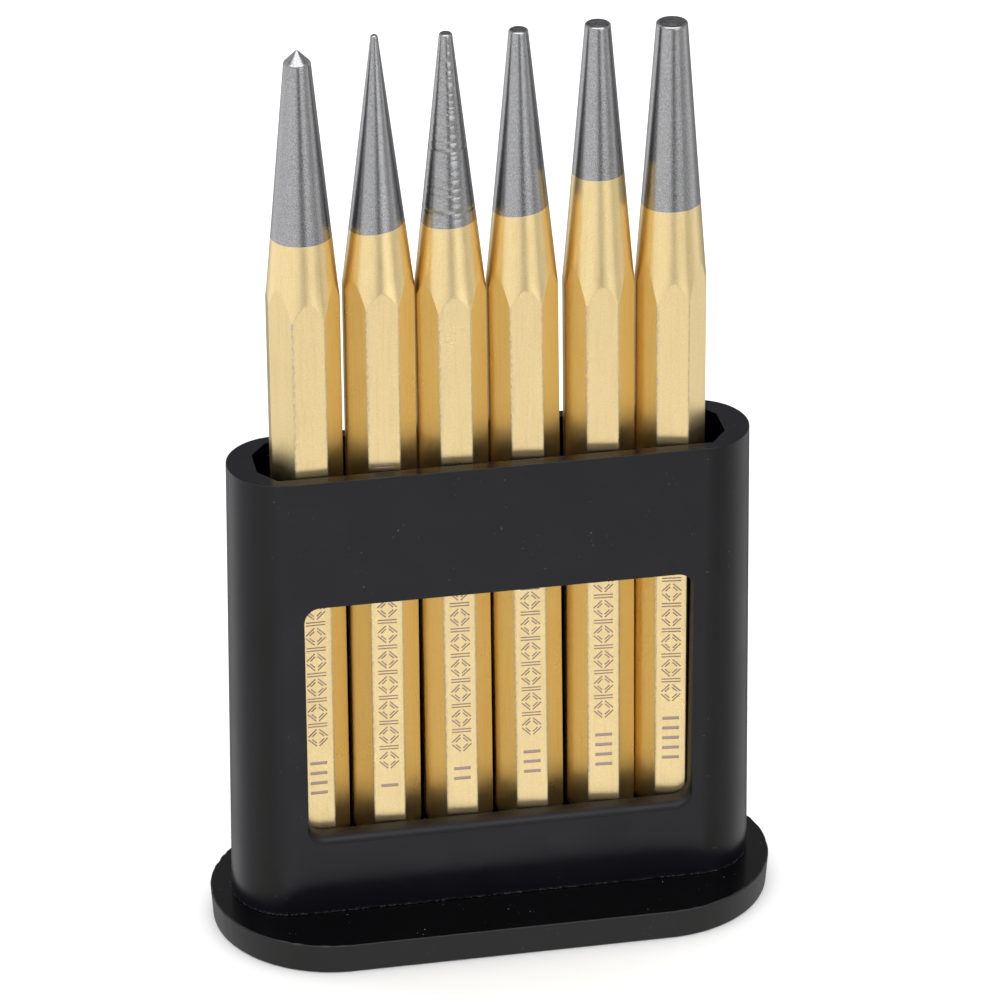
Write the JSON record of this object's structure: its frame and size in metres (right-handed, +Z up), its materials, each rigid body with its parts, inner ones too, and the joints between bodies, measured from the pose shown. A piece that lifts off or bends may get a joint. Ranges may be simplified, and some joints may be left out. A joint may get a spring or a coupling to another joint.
{
  "type": "center punch set",
  "caption": "Set of center and tapered drift punches with eight-sided lacquered shanks, held points up in a moulded stand with a front window.",
  "frame": {"origin": "middle of the stand's underside", "axes": "+Z up, +X along the row of punches, -Y out of the window at the front"},
  "size_m": [0.081, 0.0352, 0.135],
  "materials": {
    "black_plastic": "satin black moulded plastic with a fine grain",
    "lacquered_steel": "forged tool steel, satin gold lacquer on the shank and a bare ground taper"
  },
  "bodies": {
    "stand": {"holder_sleeve": "black_plastic", "holder_foot": "black_plastic"},
    "center_punch": {"center_punch": "lacquered_steel"},
    "drift_punch_1mm": {"drift_punch_1mm": "lacquered_steel"},
    "drift_punch_2mm": {"drift_punch_2mm": "lacquered_steel"},
    "drift_punch_3mm": {"drift_punch_3mm": "lacquered_steel"},
    "drift_punch_4mm": {"drift_punch_4mm": "lacquered_steel"},
    "drift_punch_5mm": {"drift_punch_5mm": "lacquered_steel"}
  },
  "joints": [
    {"name": "center_punch_lift", "type": "slide", "parent": "stand", "child": "center_punch", "axis": [-0.007, 0, 1], "range_m": [0, 0.06]},
    {"name": "drift_punch_1mm_lift", "type": "slide", "parent": "stand", "child": "drift_punch_1mm", "axis": [-0.007, 0, 1], "range_m": [0, 0.06]},
    {"name": "drift_punch_2mm_lift", "type": "slide", "parent": "stand", "child": "drift_punch_2mm", "axis": [-0.007, 0, 1], "range_m": [0, 0.06]},
    {"name": "drift_punch_3mm_lift", "type": "slide", "parent": "stand", "child": "drift_punch_3mm", "axis": [-0.007, 0, 1], "range_m": [0, 0.06]},
    {"name": "drift_punch_4mm_lift", "type": "slide", "parent": "stand", "child": "drift_punch_4mm", "axis": [-0.007, 0, 1], "range_m": [0, 0.06]},
    {"name": "drift_punch_5mm_lift", "type": "slide", "parent": "stand", "child": "drift_punch_5mm", "axis": [-0.007, 0, 1], "range_m": [0, 0.06]}
  ]
}
